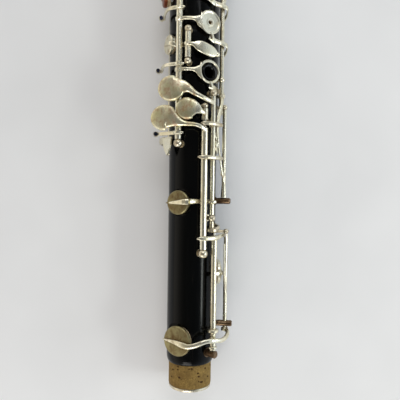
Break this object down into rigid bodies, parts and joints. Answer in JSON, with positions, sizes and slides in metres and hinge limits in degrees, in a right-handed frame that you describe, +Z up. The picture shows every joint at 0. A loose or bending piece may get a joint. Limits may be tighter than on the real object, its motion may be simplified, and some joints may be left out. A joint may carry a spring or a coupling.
{
  "type": "oboe lower joint",
  "caption": "Lower joint of an oboe with its complete keywork: sprung finger keys, little-finger touches, pad cups, ball posts, corked tenon and ringed socket.",
  "frame": {"origin": "centre of the tenon's end face, on the bore axis", "axes": "+Y along the bore axis from the tenon to the socket; +Z up as the joint lies with its main key rod uppermost; +X towards the low B rods"},
  "size_m": [0.0429, 0.256, 0.0359],
  "materials": {
    "grenadilla": "polished, near black",
    "cork": "sanded cork",
    "plated_fittings": "worn nickel silver",
    "key_metal": "polished nickel silver with light tarnish",
    "steel_rods": "bare steel",
    "blued_steel": "blued steel",
    "pad_skin": "aged bladder skin over felt",
    "pad_cork": "fine cork"
  },
  "bodies": {
    "joint_body": {"wood_body": "grenadilla", "finger_chimney": "grenadilla", "tenon_cork": "cork", "tenon_cap": "plated_fittings", "socket_ring": "plated_fittings", "main_rod_posts": "plated_fittings", "f_key_posts": "plated_fittings", "low_c_rod_posts": "plated_fittings", "c_sharp_rod_posts": "plated_fittings", "low_c_cup_post": "plated_fittings", "low_b_lever_posts": "plated_fittings", "barrel_posts": "plated_fittings", "flank_posts": "plated_fittings", "link_posts": "plated_fittings", "side_vent_posts": "plated_fittings", "rod_bridges": "plated_fittings", "rod_support": "plated_fittings", "thumb_rest": "plated_fittings", "main_pivot_rod": "steel_rods", "right_hand_pivot_rods": "steel_rods", "flank_pivot_pins": "steel_rods", "thumb_rest_screws": "steel_rods", "needle_springs": "blued_steel"},
    "f_sharp_body": {"f_sharp_key": "key_metal", "f_sharp_pad": "pad_cork", "f_sharp_adjusting_screw": "steel_rods"},
    "e_body": {"e_key": "key_metal", "e_pad": "pad_cork"},
    "d_body": {"d_ring_key": "key_metal", "d_adjusting_screws": "steel_rods"},
    "f_body": {"f_key": "key_metal", "f_key_pad": "pad_skin"},
    "c_sharp_body": {"c_sharp_key": "key_metal", "c_sharp_pad": "pad_skin"},
    "low_c_touch_body": {"low_c_touch_key": "key_metal"},
    "e_flat_body": {"e_flat_key": "key_metal", "e_flat_pad": "pad_skin"},
    "low_c_cup_body": {"low_c_cup_key": "key_metal", "low_c_pad": "pad_skin", "low_c_adjusting_screw": "steel_rods"},
    "low_b_lever_body": {"low_b_lever": "key_metal"},
    "low_b_middle_body": {"low_b_middle_rod": "key_metal"},
    "low_b_cup_body": {"low_b_cup_key": "key_metal", "low_b_pad": "pad_skin"},
    "f_sharp_link_body": {"f_sharp_link_lever": "key_metal"},
    "e_link_body": {"e_link_lever": "key_metal", "e_link_pad": "pad_skin"},
    "d_link_body": {"d_link_lever": "key_metal", "d_link_pad": "pad_skin"},
    "side_vent_body": {"side_vent_key": "key_metal", "side_vent_pad": "pad_skin"}
  },
  "joints": [
    {"name": "f_sharp_press", "type": "hinge", "parent": "joint_body", "child": "f_sharp_body", "pos_m": [-0.00727, 0.208, 0.01459], "axis": [0, 1, 0], "range_deg": [0, 4], "stiffness_Nm_per_rad": 0.03, "springref_deg": -8.59},
    {"name": "e_press", "type": "hinge", "parent": "joint_body", "child": "e_body", "pos_m": [-0.00727, 0.182, 0.01459], "axis": [0, 1, 0], "range_deg": [0, 4], "stiffness_Nm_per_rad": 0.03, "springref_deg": -8.59},
    {"name": "d_press", "type": "hinge", "parent": "joint_body", "child": "d_body", "pos_m": [-0.00727, 0.151, 0.01459], "axis": [0, 1, 0], "range_deg": [0, 4], "stiffness_Nm_per_rad": 0.03, "springref_deg": -8.59},
    {"name": "f_press", "type": "hinge", "parent": "joint_body", "child": "f_body", "pos_m": [-0.00281, 0.1755, 0.01677], "axis": [0, 1, 0], "range_deg": [0, 3.8], "stiffness_Nm_per_rad": 0.03, "springref_deg": -8.59},
    {"name": "c_sharp_press", "type": "hinge", "parent": "joint_body", "child": "c_sharp_body", "pos_m": [0.01019, 0.121, 0.01259], "axis": [0, 1, 0], "range_deg": [-4, 0], "stiffness_Nm_per_rad": 0.03, "springref_deg": 8.59},
    {"name": "low_c_press", "type": "hinge", "parent": "joint_body", "child": "low_c_touch_body", "pos_m": [0.00601, 0.104, 0.01526], "axis": [0, 1, 0], "range_deg": [-3.8, 0], "stiffness_Nm_per_rad": 0.03, "springref_deg": 8.59},
    {"name": "e_flat_press", "type": "hinge", "parent": "joint_body", "child": "e_flat_body", "pos_m": [0.00601, 0.1413, 0.01526], "axis": [0, 1, 0], "range_deg": [-3.3, 0], "stiffness_Nm_per_rad": 0.03, "springref_deg": 8.59},
    {"name": "low_c_cup_turn", "type": "hinge", "parent": "joint_body", "child": "low_c_cup_body", "pos_m": [0.01161, 0.051, 0.01145], "axis": [0, 1, 0], "range_deg": [0, 4.2]},
    {"name": "low_b_press", "type": "hinge", "parent": "joint_body", "child": "low_b_lever_body", "pos_m": [0.01457, 0.189, 0.00775], "axis": [0, 1, 0], "range_deg": [-3, 0], "stiffness_Nm_per_rad": 0.03, "springref_deg": 8.59},
    {"name": "low_b_rod_turn", "type": "hinge", "parent": "joint_body", "child": "low_b_middle_body", "pos_m": [0.01642, 0.123, 0.0044], "axis": [0, 1, 0], "range_deg": [-3.8, 0]},
    {"name": "low_b_cup_turn", "type": "hinge", "parent": "joint_body", "child": "low_b_cup_body", "pos_m": [0.0181, 0.056, 0.0019], "axis": [0, 1, 0], "range_deg": [-3, 0]},
    {"name": "f_sharp_link_turn", "type": "hinge", "parent": "joint_body", "child": "f_sharp_link_body", "pos_m": [0.01488, 0.201, -0.00399], "axis": [0, 1, 0], "range_deg": [-4.3, 0]},
    {"name": "e_link_turn", "type": "hinge", "parent": "joint_body", "child": "e_link_body", "pos_m": [0.01488, 0.179, -0.00399], "axis": [0, 1, 0], "range_deg": [-4.3, 0]},
    {"name": "d_link_turn", "type": "hinge", "parent": "joint_body", "child": "d_link_body", "pos_m": [0.01488, 0.158, -0.00399], "axis": [0, 1, 0], "range_deg": [-4.3, 0]},
    {"name": "side_vent_turn", "type": "hinge", "parent": "joint_body", "child": "side_vent_body", "pos_m": [-0.01294, 0.179, -0.00778], "axis": [0, 1, 0], "range_deg": [-4, 0], "stiffness_Nm_per_rad": 0.03, "springref_deg": 8.59}
  ],
  "couplings": [
    {"joint": "f_sharp_link_turn", "follows": "f_sharp_press", "ratio": -1.05},
    {"joint": "e_link_turn", "follows": "e_press", "ratio": -1.05},
    {"joint": "d_link_turn", "follows": "d_press", "ratio": -1.05},
    {"joint": "low_c_cup_turn", "follows": "low_c_press", "ratio": -1.05},
    {"joint": "low_b_rod_turn", "follows": "low_b_press", "ratio": 1.2},
    {"joint": "low_b_cup_turn", "follows": "low_b_press", "ratio": 0.95}
  ]
}
